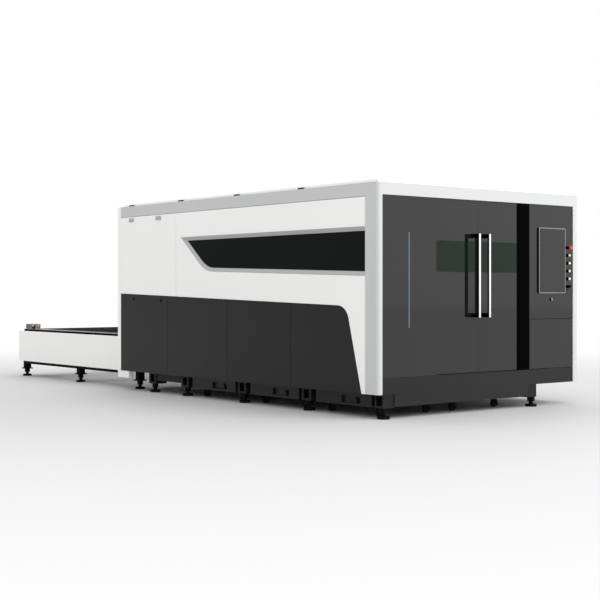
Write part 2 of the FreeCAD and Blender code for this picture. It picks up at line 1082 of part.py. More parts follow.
def pallet(front, level):
    """Open frame of butted members, with upright slats resting on its ledges."""
    left = bed_center - pallet_half
    right = bed_center + pallet_half
    low = level + seat_clearance
    high = low + pallet_height
    back = front + pallet_length
    inner = left + pallet_side
    seat = high - slat_height + slat_sink
    ledge_low = seat - ledge_thickness
    ledge = inner + pallet_ledge
    right_inner = 2 * bed_center - inner
    ledge_front = front + pallet_side
    ledge_back = back - pallet_side
    pieces = [
        block(left, front, low, inner, back, high),
        block(right_inner, front, low, right, back, high),
        block(inner, front, low, right_inner, ledge_front, seat),
        block(inner, ledge_back, low, right_inner, back, seat),
        block(inner, ledge_front, ledge_low, ledge, ledge_back, seat),
        block(2 * bed_center - ledge, ledge_front, ledge_low, right_inner, ledge_back, seat),
    ]
    count = int(pallet_length // slat_pitch)
    for index in range(count):
        y = front + slat_pitch / 2 + index * slat_pitch
        pieces.append(
            block(
                inner + 1,
                y - slat_thickness / 2,
                seat,
                2 * bed_center - inner - 1,
                y + slat_thickness / 2,
                seat + slat_height,
            )
        )
    return pieces


def make_table():
    beam_left = shelf_left - table_beam
    beam_end = table_end - panel_depth - end_beam_depth
    left = [block(beam_left, table_front, table_beam_low, shelf_left, beam_end, table_beam_top)]
    shelf_right = shelf_left + shelf_width
    shelf_end = upper_start + pallet_length + rail_over_pallet
    for level in (lower_level, upper_level):
        low = level - shelf_thickness
        left.append(block(shelf_left, table_front, low, shelf_right, shelf_end, level))
    foot_x = bed_left + table_foot_inset
    leg_half = leg_size / 2
    leg_low = bracket_low + bracket_plate
    plate_half = leg_plate / 2
    hole_low = bracket_low - bracket_plate / 2
    for y in table_feet_y:
        plate = block(
            foot_x - plate_half, y - plate_half, bracket_low, foot_x + plate_half, y + plate_half, leg_low
        )
        hole = rod(stud_radius + stud_clearance, 2 * bracket_plate, foot_x, y, hole_low, "z")
        left.append(plate.cut(hole))
        leg = tube(
            foot_x - leg_half,
            y - leg_half,
            leg_low,
            foot_x + leg_half,
            y + leg_half,
            table_beam_low,
            leg_wall,
            "z",
        )
        left.append(leg)
    for y in stay_places:
        stay = block(
            table_panel_out + skin,
            y - stay_size / 2,
            stay_low,
            beam_left,
            y + stay_size / 2,
            stay_low + stay_size,
        )
        left.append(stay)
    under_top = table_panel_low - 1
    under_rail = block(
        foot_x - leg_half - under_rail_width,
        cabin_length + edge_gap,
        under_top - under_rail_height,
        foot_x - leg_half,
        under_rail_end,
        under_top,
    )
    left.append(under_rail)
    right = [mirror_x(piece, bed_center) for piece in left]
    crosses = []
    cross_top = table_beam_low - table_cross_drop
    for y in table_feet_y:
        crosses.append(
            block(
                foot_x + leg_half,
                y - table_cross_width / 2,
                cross_top - table_cross_height,
                2 * bed_center - foot_x - leg_half,
                y + table_cross_width / 2,
                cross_top,
            )
        )
    end_beam = block(
        beam_left,
        beam_end,
        table_beam_low,
        2 * bed_center - beam_left,
        table_end - panel_depth,
        table_beam_top - end_beam_drop,
    )
    shelf_top = upper_level - drive_shelf_drop
    drive_shelf = block(
        shelf_left,
        drive_shelf_front,
        shelf_top - drive_shelf_thickness,
        shelf_left + drive_shelf_width,
        beam_end,
        shelf_top,
    )
    save("table_frame", *left, *right, *crosses, end_beam, drive_shelf)
    make_table_panels()


def make_table_panels():
    front = cabin_length + edge_gap
    side_back = table_end - panel_depth
    side = block(
        table_panel_out,
        front,
        table_panel_low,
        table_panel_out + panel_depth,
        side_back,
        table_panel_high,
    )
    side_room = block(
        table_panel_out + skin,
        front + skin,
        table_panel_low + skin,
        table_panel_out + panel_depth + 1,
        side_back - skin,
        table_panel_high - skin,
    )
    side = side.cut(side_room)
    end = block(
        table_panel_out,
        side_back,
        table_panel_low,
        2 * bed_center - table_panel_out,
        table_end,
        table_panel_high,
    )
    end_room = block(
        table_panel_out + skin,
        side_back - 1,
        table_panel_low + skin,
        2 * bed_center - table_panel_out - skin,
        table_end - skin,
        table_panel_high - skin,
    )
    save("table_panels", side, mirror_x(side, bed_center), end.cut(end_room))


def make_drive():
    """Gearmotor that reaches over the left beam, and the sensor post in front of it."""
    base = upper_level - drive_shelf_drop
    left = shelf_left - table_beam + edge_gap
    inner = shelf_left + edge_gap
    right = inner + drive_side
    back = drive_front + drive_length
    cover = block(left, drive_front, table_beam_top, right, back, table_beam_top + drive_rise)
    gearbox = block(inner, drive_front, base, right, back, table_beam_top)
    axis_y = drive_front + drive_length / 2
    axis_z = base + motor_radius + edge_gap
    motor = rod(motor_radius, motor_length, right, axis_y, axis_z, "x")
    cap = rod(motor_cap_radius, motor_cap_length, right + motor_length, axis_y, axis_z, "x")
    post_back = drive_front - sensor_gap
    post_front = post_back - sensor_length
    post_top = table_beam_top + sensor_height
    post = block(left, post_front, table_beam_top, left + sensor_depth, post_back, post_top)
    sensor_z = post_top - sensor_drop
    sensor_y = post_front - sensor_reach + sensor_length
    sensor_x = left + sensor_depth + sensor_radius
    sensor = rod(sensor_radius, sensor_reach, sensor_x, sensor_y, sensor_z, "y")
    save("table_drive", join([cover, gearbox, motor, cap]), post, sensor)


# ---- gantry ----


def make_gantry():
    left = bed_left + gantry_inset
    beam = tube(
        left,
        gantry_y,
        gantry_low,
        2 * bed_center - left,
        gantry_y + gantry_depth,
        gantry_high,
        gantry_wall,
        "x",
    )
    rail_left = bed_left + beam_width / 2 - rail_width / 2
    shoe_y = gantry_y + gantry_depth / 2 - shoe_length / 2
    shoe = block(
        rail_left - shoe_side,
        shoe_y,
        beam_top + shoe_lift,
        rail_left + rail_width + shoe_side,
        shoe_y + shoe_length,
        gantry_low,
    )
    groove = block(
        rail_left - seat_clearance,
        shoe_y - 1,
        beam_top + shoe_lift - 1,
        rail_left + rail_width + seat_clearance,
        shoe_y + shoe_length + 1,
        beam_top + rail_height + seat_clearance,
    )
    shoe = shoe.cut(groove)
    save("gantry_beam", join([beam, shoe, mirror_x(shoe, bed_center)]))
    back = gantry_y - seat_clearance
    front = back - carriage_depth
    left = bed_center - carriage_half
    right = bed_center + carriage_half
    low = gantry_low - carriage_drop
    body = block(left, front, low, right, back, gantry_high + carriage_rise)
    hook = block(
        left,
        back,
        gantry_high + seat_clearance,
        right,
        gantry_y + hook_reach,
        gantry_high + hook_height,
    )
    save("carriage", join([body, hook]))
    head_back = front - seat_clearance
    middle_y = head_back - head_depth / 2
    body = block(
        bed_center - head_half,
        head_back - head_depth,
        nozzle_tip + head_body_rise,
        bed_center + head_half,
        head_back,
        gantry_high + head_rise,
    )
    barrel_low = nozzle_tip + barrel_rise
    barrel = rod(barrel_radius, barrel_length, bed_center, middle_y, barrel_low, "z")
    tip = FreeCAD.Vector(bed_center, middle_y, nozzle_tip)
    nozzle = Part.makeCone(nozzle_radius, nozzle_top_radius, barrel_rise, tip)
    save("cutting_head", join([body, barrel, nozzle]))


# ---- scrap carts ----


def cart_bay(index):
    front = bed_feet_y[index] + bay_margin + cart_clearance
    back = bed_feet_y[index + 1] - bay_margin - cart_clearance
    return front, back


def make_cart(name, index, pull_x, to_right):
    """One scrap cart, built pulling to the left and mirrored when it pulls to the right."""
    front, back = cart_bay(index)
    tub_left = pull_x + cart_front_depth
    tub_right = tub_left + cart_tub_length
    middle = (front + back) / 2
    tub = block(tub_left, front, cart_low, tub_right, back, cart_top)
    room = block(
        tub_left + cart_wall,
        front + cart_wall,
        cart_low + cart_wall,
        tub_right - cart_wall,
        back - cart_wall,
        cart_top + 1,
    )
    face = block(pull_x, front, cart_low, tub_left, back, cart_top)
    face_room = block(
        pull_x + cart_wall,
        front + cart_wall,
        cart_low + cart_wall,
        tub_left + 1,
        back - cart_wall,
        cart_top - cart_wall,
    )
    pocket_low = cart_top - pocket_height - pocket_drop
    pocket_y = middle - pocket_length / 2 - pocket_shift
    shell = block(
        pull_x,
        pocket_y - cart_wall,
        pocket_low - cart_wall,
        pull_x + pocket_depth + cart_wall,
        pocket_y + pocket_length + cart_wall,
        pocket_low + pocket_height + cart_wall,
    )
    pocket = block(
        pull_x - 1,
        pocket_y,
        pocket_low,
        pull_x + pocket_depth,
        pocket_y + pocket_length,
        pocket_low + pocket_height,
    )
    body = join([tub.cut(room), face.cut(face_room), shell]).cut(pocket)
    forks = []
    wheels = []
    for wheel_x in (pull_x + wheel_first, pull_x + wheel_first + wheel_base):
        pair = []
        for wheel_y, inner in ((front + wheel_side, 1), (back - wheel_side, -1)):
            wheel = rod(wheel_radius, wheel_width, wheel_x, wheel_y - wheel_width / 2, wheel_radius, "y")
            wheel = wheel.makeFillet(wheel_round, wheel.Edges[:1] + wheel.Edges[2:3])
            fork_start = wheel_width / 2 + fork_gap
            pin_reach = fork_start + fork_thickness + axle_end
            pin_low = min(wheel_y, wheel_y + inner * pin_reach)
            pair.append(join([wheel, rod(axle_radius, pin_reach, wheel_x, pin_low, wheel_radius, "y")]))
            fork_y = wheel_y + inner * fork_start
            fork_low = min(fork_y, fork_y + inner * fork_thickness)
            fork = block(
                wheel_x - fork_width / 2,
                fork_low,
                wheel_radius - fork_below_axle,
                wheel_x + fork_width / 2,
                fork_low + fork_thickness,
                cart_low,
            )
            hole_radius = axle_radius + fit_clearance
            hole = rod(hole_radius, fork_thickness + 2, wheel_x, fork_low - 1, wheel_radius, "y")
            forks.append(fork.cut(hole))
        wheels.append(pair)
    body = join([body, *forks])
    groups = [[body], *wheels]
    if to_right:
        groups = [[mirror_x(piece, pull_x) for piece in group] for group in groups]
    for ending, group in zip(("", "_outer_wheels", "_inner_wheels"), groups):
        save(name + ending, *group)


os.makedirs("parts", exist_ok=True)
make_front_frame()
left_frame = side_frame()
save("side_frames", left_frame, mirror_x(left_frame, cabin_width / 2))
make_rear_portal()
make_rear_wall()
make_roof()
make_left_side()
make_right_side()
make_fixed_front()
make_doors()
make_console()
make_controls()
make_bed()
make_feet()
save("upper_pallet", *pallet(upper_start, upper_level))
save("lower_pallet", *pallet(lower_start, lower_level))
make_table()
make_drive()
make_gantry()
for number in range(3):
    make_cart("cart_" + str(number + 1), number, cart_pull_x, False)
make_cart("cart_4", 0, right_cart_pull_x, True)
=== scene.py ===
import math
import bpy
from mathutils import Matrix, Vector


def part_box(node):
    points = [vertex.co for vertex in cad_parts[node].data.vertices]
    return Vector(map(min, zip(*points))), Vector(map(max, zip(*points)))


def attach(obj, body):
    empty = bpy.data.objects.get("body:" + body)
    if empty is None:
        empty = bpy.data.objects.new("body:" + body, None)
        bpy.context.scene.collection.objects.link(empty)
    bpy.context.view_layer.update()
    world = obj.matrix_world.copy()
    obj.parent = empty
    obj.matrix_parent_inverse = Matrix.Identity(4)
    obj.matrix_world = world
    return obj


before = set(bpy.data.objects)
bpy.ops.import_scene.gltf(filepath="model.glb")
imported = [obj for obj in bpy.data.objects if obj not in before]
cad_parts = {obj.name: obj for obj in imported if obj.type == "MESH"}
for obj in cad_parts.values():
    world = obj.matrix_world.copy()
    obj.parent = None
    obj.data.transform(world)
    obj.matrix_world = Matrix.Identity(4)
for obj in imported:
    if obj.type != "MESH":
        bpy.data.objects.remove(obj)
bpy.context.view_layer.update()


# helpers for placing and shaping

def nodeBox(name):
    low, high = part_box(name)
    return Vector(low), Vector(high)


def clearSelection():
    if bpy.context.mode != "OBJECT":
        bpy.ops.object.mode_set(mode="OBJECT")
    bpy.ops.object.select_all(action="DESELECT")


def takeActive(name):
    piece = bpy.context.active_object
    piece.name = name
    piece.data.name = name
    return piece


def applyPlace(piece):
    clearSelection()
    piece.select_set(True)
    bpy.context.view_layer.objects.active = piece
    bpy.ops.object.transform_apply(location=True, rotation=True, scale=True)


def applyModifier(piece, kind, **settings):
    clearSelection()
    piece.select_set(True)
    bpy.context.view_layer.objects.active = piece
    modifier = piece.modifiers.new(kind.lower(), kind)
    for key, value in settings.items():
        setattr(modifier, key, value)
    bpy.ops.object.modifier_apply(modifier=modifier.name)


def softBox(name, low, high, rounding, segments=2):
    # a cube brought to size, then its edges bevelled
    low, high = Vector(low), Vector(high)
    clearSelection()
    bpy.ops.mesh.primitive_cube_add(size=1, location=(low + high) / 2)
    piece = takeActive(name)
    piece.scale = high - low
    applyPlace(piece)
    bpy.ops.object.mode_set(mode="EDIT")
    bpy.ops.mesh.select_all(action="SELECT")
    bpy.ops.mesh.bevel(offset=rounding, offset_type="OFFSET", segments=segments, affect="EDGES")
    bpy.ops.object.mode_set(mode="OBJECT")
    return piece


def turnedPiece(name, place, turn, stations, sides=32):
    # a disc extruded ring by ring; stations are (radius, distance along the axis)
    clearSelection()
    bpy.ops.mesh.primitive_circle_add(vertices=sides, radius=stations[0][0], fill_type="NGON")
    piece = takeActive(name)
    bpy.ops.object.mode_set(mode="EDIT")
    bpy.ops.mesh.select_all(action="SELECT")
    for (radius, along), (nextRadius, nextAlong) in zip(stations, stations[1:]):
        step = nextAlong - along
        grow = nextRadius / radius
        bpy.ops.mesh.extrude_region_move(TRANSFORM_OT_translate={"value": (0, 0, step)})
        bpy.ops.transform.resize(value=(grow, grow, 1), center_override=(0, 0, nextAlong))
    bpy.ops.mesh.select_all(action="SELECT")
    bpy.ops.mesh.normals_make_consistent(inside=False)
    bpy.ops.object.mode_set(mode="OBJECT")
    piece.location = place
    piece.rotation_euler = turn
    applyPlace(piece)
    clearSelection()
    piece.select_set(True)
    bpy.ops.object.shade_smooth_by_angle(angle=math.radians(35))
    return piece


def copyAt(piece, name, offset):
    twin = piece.copy()
    twin.data = piece.data.copy()
    twin.name = name
    twin.data.name = name
    bpy.context.scene.collection.objects.link(twin)
    twin.location = offset
    applyPlace(twin)
    return twin


def joinPieces(pieces, name):
    clearSelection()
    for piece in pieces:
        piece.select_set(True)
    bpy.context.view_layer.objects.active = pieces[0]
    if len(pieces) > 1:
        bpy.ops.object.join()
    return takeActive(name)


def finishPiece(piece, material, body):
    piece.data.materials.clear()
    piece.data.materials.append(material)
    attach(piece, body)


faceAhead = (math.radians(90), 0, 0)      # turns +Z to face -Y
faceLeft = (0, math.radians(-90), 0)      # turns +Z to face -X


# shared shader groups

def newGroup(name, inputs, outputs):
    group = bpy.data.node_groups.new(name, "ShaderNodeTree")
    for socket, value in inputs:
        made = group.interface.new_socket(name=socket, in_out="INPUT", socket_type="NodeSocketFloat")
        made.default_value = value
    for socket in outputs:
        group.interface.new_socket(name=socket, in_out="OUTPUT", socket_type="NodeSocketFloat")
    return group, group.nodes.new("NodeGroupInput"), group.nodes.new("NodeGroupOutput")


def makePaintGrain():
    # fine orange peel for Height, slow cloudiness for Tone
    group, given, result = newGroup("paintGrain", [("Grain Scale", 600), ("Cloud Scale", 1.2)],
                                    ["Height", "Tone"])
    nodes, links = group.nodes, group.links
    coord = nodes.new("ShaderNodeTexCoord")
    peel = nodes.new("ShaderNodeTexNoise")
    peel.inputs["Detail"].default_value = 3
    cloud = nodes.new("ShaderNodeTexNoise")
    cloud.inputs["Detail"].default_value = 4
    cloud.inputs["Roughness"].default_value = 0.6
    for texture, socket in ((peel, "Grain Scale"), (cloud, "Cloud Scale")):
        links.new(coord.outputs["Object"], texture.inputs["Vector"])
        links.new(given.outputs[socket], texture.inputs["Scale"])
    links.new(peel.outputs["Fac"], result.inputs["Height"])
    links.new(cloud.outputs["Fac"], result.inputs["Tone"])
    return group


def makeFloorDust():
    # dust that thins out with height above the floor
    group, given, result = newGroup("floorDust", [("Reach", 0.5), ("Patch Scale", 14)], ["Mask"])
    nodes, links = group.nodes, group.links
    coord = nodes.new("ShaderNodeTexCoord")
    split = nodes.new("ShaderNodeSeparateXYZ")
    fade = nodes.new("ShaderNodeMapRange")
    fade.inputs["From Min"].default_value = 0
    fade.inputs["To Min"].default_value = 1
    fade.inputs["To Max"].default_value = 0
    patch = nodes.new("ShaderNodeTexNoise")
    patch.inputs["Detail"].default_value = 6
    both = nodes.new("ShaderNodeMath")
    both.operation = "MULTIPLY"
    links.new(coord.outputs["Object"], split.inputs[0])
    links.new(coord.outputs["Object"], patch.inputs["Vector"])
    links.new(given.outputs["Patch Scale"], patch.inputs["Scale"])
    links.new(split.outputs["Z"], fade.inputs["Value"])
    links.new(given.outputs["Reach"], fade.inputs["From Max"])
    links.new(fade.outputs["Result"], both.inputs[0])
    links.new(patch.outputs["Fac"], both.inputs[1])
    links.new(both.outputs[0], result.inputs["Mask"])
    return group


def makeBrushLines():
    # drawn-out scratches along one axis, for machined and rolled steel
    group, given, result = newGroup("brushLines", [("Line Scale", 260), ("Stretch", 0.03)],
                                    ["Height", "Tone"])
    nodes, links = group.nodes, group.links
    coord = nodes.new("ShaderNodeTexCoord")
    split = nodes.new("ShaderNodeSeparateXYZ")
    squeeze = nodes.new("ShaderNodeMath")
    squeeze.operation = "MULTIPLY"
    merge = nodes.new("ShaderNodeCombineXYZ")
    lines = nodes.new("ShaderNodeTexNoise")
    lines.inputs["Detail"].default_value = 5
    stains = nodes.new("ShaderNodeTexNoise")
    stains.inputs["Scale"].default_value = 5
    stains.inputs["Detail"].default_value = 7
    links.new(coord.outputs["Object"], split.inputs[0])
    links.new(split.outputs["Y"], squeeze.inputs[0])
    links.new(given.outputs["Stretch"], squeeze.inputs[1])
    links.new(split.outputs["X"], merge.inputs["X"])
    links.new(squeeze.outputs[0], merge.inputs["Y"])
    links.new(split.outputs["Z"], merge.inputs["Z"])
    links.new(merge.outputs[0], lines.inputs["Vector"])
    links.new(given.outputs["Line Scale"], lines.inputs["Scale"])
    links.new(coord.outputs["Object"], stains.inputs["Vector"])
    links.new(lines.outputs["Fac"], result.inputs["Height"])
    links.new(stains.outputs["Fac"], result.inputs["Tone"])
    return group


def makeRubWear():
    # scattered rubbed spots and thin scratches
    group, given, result = newGroup("rubWear", [("Spot Scale", 22), ("Amount", 0.35)], ["Mask"])
    nodes, links = group.nodes, group.links
    coord = nodes.new("ShaderNodeTexCoord")
    spots = nodes.new("ShaderNodeTexNoise")
    spots.inputs["Detail"].default_value = 9
    spots.inputs["Roughness"].default_value = 0.72
    edge = nodes.new("ShaderNodeMath")
    edge.operation = "SUBTRACT"
    edge.inputs[0].default_value = 1
    sharpen = nodes.new("ShaderNodeMapRange")
    sharpen.inputs["From Max"].default_value = 0.95
    links.new(coord.outputs["Object"], spots.inputs["Vector"])
    links.new(given.outputs["Spot Scale"], spots.inputs["Scale"])
    links.new(given.outputs["Amount"], edge.inputs[1])
    links.new(edge.outputs[0], sharpen.inputs["From Min"])
    links.new(spots.outputs["Fac"], sharpen.inputs["Value"])
    links.new(sharpen.outputs["Result"], result.inputs["Mask"])
    return group


groups = {
    "paintGrain": makePaintGrain(),
    "floorDust": makeFloorDust(),
    "brushLines": makeBrushLines(),
    "rubWear": makeRubWear(),
}
print("shared shader groups ready")


# materials

def startMaterial(name, look):
    material = bpy.data.materials.new(name)
    material.use_nodes = True
    tree = material.node_tree
    shader = tree.nodes["Principled BSDF"]
    shader.inputs["Roughness"].default_value = look["roughness"]
    shader.inputs["Metallic"].default_value = look.get("metallic", 0)
    shader.inputs["Specular IOR Level"].default_value = look.get("specular", 0.5)
    shader.inputs["Coat Weight"].default_value = look.get("coat", 0)
    shader.inputs["Coat Roughness"].default_value = look.get("coatRoughness", 0.05)
    return material, tree, shader


def placeGroup(tree, name, **values):
    node = tree.nodes.new("ShaderNodeGroup")
    node.node_tree = groups[name]
    for key, value in values.items():
        node.inputs[key].default_value = value
    return node


def mixColors(tree, mask, first, second):
    # first and second are colours or the sockets that carry them
    mix = tree.nodes.new("ShaderNodeMix")
    mix.data_type = "RGBA"
    tree.links.new(mask, mix.inputs["Factor"])
    for socket, color in ((mix.inputs["A"], first), (mix.inputs["B"], second)):
        if isinstance(color, tuple):
            socket.default_value = (*color, 1)
        else:
            tree.links.new(color, socket)
    return mix.outputs["Result"]


def spread(tree, value, low, high, fromLow=0.3, fromHigh=0.7):
    mapRange = tree.nodes.new("ShaderNodeMapRange")
    mapRange.inputs["From Min"].default_value = fromLow
    mapRange.inputs["From Max"].default_value = fromHigh
    mapRange.inputs["To Min"].default_value = low
    mapRange.inputs["To Max"].default_value = high
    tree.links.new(value, mapRange.inputs["Value"])
    return mapRange.outputs["Result"]


def addBump(tree, shader, height, strength, distance, rounding=0):
    bump = tree.nodes.new("ShaderNodeBump")
    bump.inputs["Strength"].default_value = strength
    bump.inputs["Distance"].default_value = distance
    tree.links.new(height, bump.inputs["Height"])
    if rounding:
        softEdge = tree.nodes.new("ShaderNodeBevel")
        softEdge.samples = 4
        softEdge.inputs["Radius"].default_value = rounding
        tree.links.new(softEdge.outputs["Normal"], bump.inputs["Normal"])
    tree.links.new(bump.outputs["Normal"], shader.inputs["Normal"])


def scaled(color, factor):
    return tuple(channel * factor for channel in color)


def paintFinish(name, look):
    # sprayed or powder-coated sheet metal: cloudiness, peel and a little dust low down
    material, tree, shader = startMaterial(name, look)
    grain = placeGroup(tree, "paintGrain", **{"Grain Scale": look["grain"], "Cloud Scale": 1.1})
    dust = placeGroup(tree, "floorDust", Reach=look.get("dustReach", 0.5))
    base = mixColors(tree, grain.outputs["Tone"], scaled(look["color"], 1 - look["cloud"]),
                     scaled(look["color"], 1 + look["cloud"]))
    dusted = spread(tree, dust.outputs["Mask"], 0, look.get("dust", 0.1), 0.1, 0.7)
    base = mixColors(tree, dusted, base, look.get("dustColor", (0.3, 0.29, 0.27)))
    tree.links.new(base, shader.inputs["Base Color"])
    rough = spread(tree, grain.outputs["Tone"], look["roughness"] * 0.88, look["roughness"] * 1.12)
    tree.links.new(rough, shader.inputs["Roughness"])
    addBump(tree, shader, grain.outputs["Height"], look["peel"], 0.0004, look.get("rounding", 0))
    return material


def metalFinish(name, look):
    material, tree, shader = startMaterial(name, look)
    lines = placeGroup(tree, "brushLines", **{"Line Scale": look["lines"]})
    wear = placeGroup(tree, "rubWear", Amount=look.get("wear", 0.4))
    base = mixColors(tree, lines.outputs["Tone"], scaled(look["color"], 0.8), look["color"])
    base = mixColors(tree, wear.outputs["Mask"], base, look.get("wornColor", scaled(look["color"], 1.3)))
    tree.links.new(base, shader.inputs["Base Color"])
    rough = spread(tree, lines.outputs["Height"], look["roughness"] * 0.75, look["roughness"] * 1.3)
    tree.links.new(rough, shader.inputs["Roughness"])
    addBump(tree, shader, lines.outputs["Height"], look.get("relief", 0.1), 0.0003)
    return material


def zoneMask(tree, axis, start, end):
    # 0 below start and 1 above end, along one of the object's own axes
    coord = tree.nodes.new("ShaderNodeTexCoord")
    split = tree.nodes.new("ShaderNodeSeparateXYZ")
    tree.links.new(coord.outputs["Object"], split.inputs[0])
    return spread(tree, split.outputs[axis], 0, 1, start, end)


def glassFinish(name, look):
    material, tree, shader = startMaterial(name, look)
    shader.inputs["Transmission Weight"].default_value = look["clear"]
    shader.inputs["IOR"].default_value = 1.45
    grain = placeGroup(tree, "paintGrain", **{"Grain Scale": 40, "Cloud Scale": 0.8})
    base = mixColors(tree, grain.outputs["Tone"], scaled(look["color"], 0.85), scaled(look["color"], 1.15))
    tree.links.new(base, shader.inputs["Base Color"])
    rough = spread(tree, grain.outputs["Tone"], look["roughness"] * 0.7, look["roughness"] * 1.4)
    tree.links.new(rough, shader.inputs["Roughness"])
    addBump(tree, shader, grain.outputs["Height"], 0.02, 0.0003)
    return material


def lampFinish(name, look):
    # a lit lens or diffuser: tone varies in soft clouds, with a fine frosted grain
    material, tree, shader = startMaterial(name, look)
    grain = placeGroup(tree, "paintGrain", **{"Grain Scale": 900, "Cloud Scale": look["cloudScale"]})
    base = mixColors(tree, grain.outputs["Tone"], scaled(look["color"], 0.8), look["color"])
    tree.links.new(base, shader.inputs["Base Color"])
    tree.links.new(base, shader.inputs["Emission Color"])
    shader.inputs["Emission Strength"].default_value = look["glow"]
    addBump(tree, shader, grain.outputs["Height"], 0.1, 0.0002)
    return material


silverPaint = {"color": (0.56, 0.57, 0.575), "roughness": 0.42, "grain": 520, "cloud": 0.02,
               "peel": 0.12, "specular": 0.4, "dust": 0.12, "rounding": 0.004}
whitePaint = {"color": (0.91, 0.912, 0.895), "roughness": 0.4, "grain": 620, "cloud": 0.012,
              "peel": 0.1, "specular": 0.35, "dust": 0.1, "rounding": 0.002}
darkPaint = {"color": (0.0115, 0.0115, 0.0115), "roughness": 0.32, "grain": 800, "cloud": 0.1,
             "peel": 0.05, "specular": 0.2, "dust": 0.02, "rounding": 0.002}
glossPaint = {"color": (0.008, 0.008, 0.008), "roughness": 0.05, "grain": 500, "cloud": 0.15,
              "peel": 0.012, "specular": 0.5, "dust": 0.02, "rounding": 0.0015}
skirtPaint = {"color": (0.012, 0.012, 0.012), "roughness": 0.36, "grain": 700, "cloud": 0.1,
              "peel": 0.08, "specular": 0.22, "dust": 0.02}
# near-black and almost unreflective: painted deep shade in the recessed entry column beside the console
columnShadePaint = {"color": (0.0014, 0.0015, 0.0014), "roughness": 0.5, "grain": 700, "cloud": 0.2,
               "peel": 0.03, "specular": 0.005, "dust": 0}
bevelPaint = {"color": (0.42, 0.425, 0.425), "roughness": 0.45, "grain": 600, "cloud": 0.03,
              "peel": 0.08, "specular": 0.35, "dust": 0}
blackPaint = {"color": (0.009, 0.009, 0.009), "roughness": 0.45, "grain": 380, "cloud": 0.25,
              "peel": 0.2, "specular": 0.15, "dust": 0.03}
blackPlastic = {"color": (0.002, 0.002, 0.002), "roughness": 0.5, "grain": 1200, "cloud": 0.2,
                "peel": 0.25, "specular": 0.06, "dust": 0.01}
rubberTread = {"color": (0.004, 0.004, 0.004), "roughness": 0.68, "grain": 900, "cloud": 0.25,
               "peel": 0.3, "specular": 0.1, "dust": 0.04, "dustReach": 0.12}
motorPaint = {"color": (0.22, 0.225, 0.23), "roughness": 0.45, "grain": 260, "cloud": 0.06,
              "peel": 0.35, "specular": 0.4, "dust": 0.1}
redPlastic = {"color": (0.62, 0.025, 0.02), "roughness": 0.3, "grain": 900, "cloud": 0.05,
              "peel": 0.05, "specular": 0.5, "dust": 0}
orangePlastic = {"color": (0.7, 0.3, 0.06), "roughness": 0.4, "grain": 900, "cloud": 0.05,
                 "peel": 0.08, "specular": 0.5, "dust": 0}

steelLook = {"color": (0.52, 0.52, 0.53), "roughness": 0.28, "metallic": 1, "lines": 320}
darkSteelLook = {"color": (0.035, 0.035, 0.036), "roughness": 0.5, "metallic": 0.6, "lines": 200,
                 "wear": 0.42, "wornColor": (0.16, 0.155, 0.15), "relief": 0.25}
platedLook = {"color": (0.75, 0.75, 0.76), "roughness": 0.14, "metallic": 1, "lines": 500}
rimLook = {"color": (0.34, 0.34, 0.345), "roughness": 0.22, "metallic": 1, "lines": 500}
brassLook = {"color": (0.75, 0.52, 0.16), "roughness": 0.25, "metallic": 1, "lines": 400}
copperLook = {"color": (0.72, 0.36, 0.2), "roughness": 0.25, "metallic": 1, "lines": 400}

materials = {
    "silver": paintFinish("silverPaint", silverPaint),
    "white": paintFinish("whitePaint", whitePaint),
    "dark": paintFinish("darkPaint", darkPaint),
    "gloss": paintFinish("glossPaint", glossPaint),
    "skirt": paintFinish("skirtPaint", skirtPaint),
    "columnShade": paintFinish("columnShadePaint", columnShadePaint),
    "bevel": paintFinish("bevelPaint", bevelPaint),
    "black": paintFinish("blackPaint", blackPaint),
    "blackPlastic": paintFinish("blackPlastic", blackPlastic),
    "rubber": paintFinish("rubberTread", rubberTread),
    "motor": paintFinish("motorPaint", motorPaint),
    "red": paintFinish("redPlastic", redPlastic),
    "orange": paintFinish("orangePlastic", orangePlastic),
    "steel": metalFinish("machinedSteel", steelLook),
    "darkSteel": metalFinish("millScaleSteel", darkSteelLook),
    "plated": metalFinish("platedMetal", platedLook),
    "rim": metalFinish("rimMetal", rimLook),
    "brass": metalFinish("brassFitting", brassLook),
    "copper": metalFinish("copperNozzle", copperLook),
    "sideGlass": glassFinish("sideGlass", {"color": (0.006, 0.0085, 0.0065), "roughness": 0.06,
                                           "specular": 0.05, "clear": 0.15}),
    "doorGlass": glassFinish("doorGlass", {"color": (0.006, 0.015, 0.008), "roughness": 0.05,
                                           "specular": 0.17, "clear": 0.2}),
    "strip": lampFinish("lightStrip", {"color": (0.06, 0.16, 0.185), "roughness": 0.3, "glow": 0.4,
                                       "cloudScale": 3}),
    "lensGreen": lampFinish("lensGreen", {"color": (0.42, 0.75, 0.38), "roughness": 0.25, "glow": 0.5,
                                          "cloudScale": 60}),
    "lensYellow": lampFinish("lensYellow", {"color": (0.6, 0.75, 0.32), "roughness": 0.25, "glow": 0.5,
                                            "cloudScale": 60}),
}


def makeHandleFinish():
    # polished strip on the front of the bar, black on its sides, back and feet
    low = nodeBox("left_door_handle")[0]
    look = {"roughness": 0.1, "metallic": 1}
    material, tree, shader = startMaterial("handleFinish", look)
    behind = zoneMask(tree, "Y", low.y + 0.0006, low.y + 0.0012)
    lines = placeGroup(tree, "brushLines", **{"Line Scale": 500})
    bright = mixColors(tree, lines.outputs["Tone"], (0.86, 0.86, 0.87), (0.95, 0.95, 0.95))
    tree.links.new(mixColors(tree, behind, bright, (0.0015, 0.0015, 0.0015)), shader.inputs["Base Color"])
    tree.links.new(spread(tree, behind, 0.09, 0.45, 0, 1), shader.inputs["Roughness"])
    tree.links.new(spread(tree, behind, 1, 0, 0, 1), shader.inputs["Metallic"])
    tree.links.new(spread(tree, behind, 0.5, 0.03, 0, 1), shader.inputs["Specular IOR Level"])
    addBump(tree, shader, lines.outputs["Height"], 0.03, 0.0002)
    return material


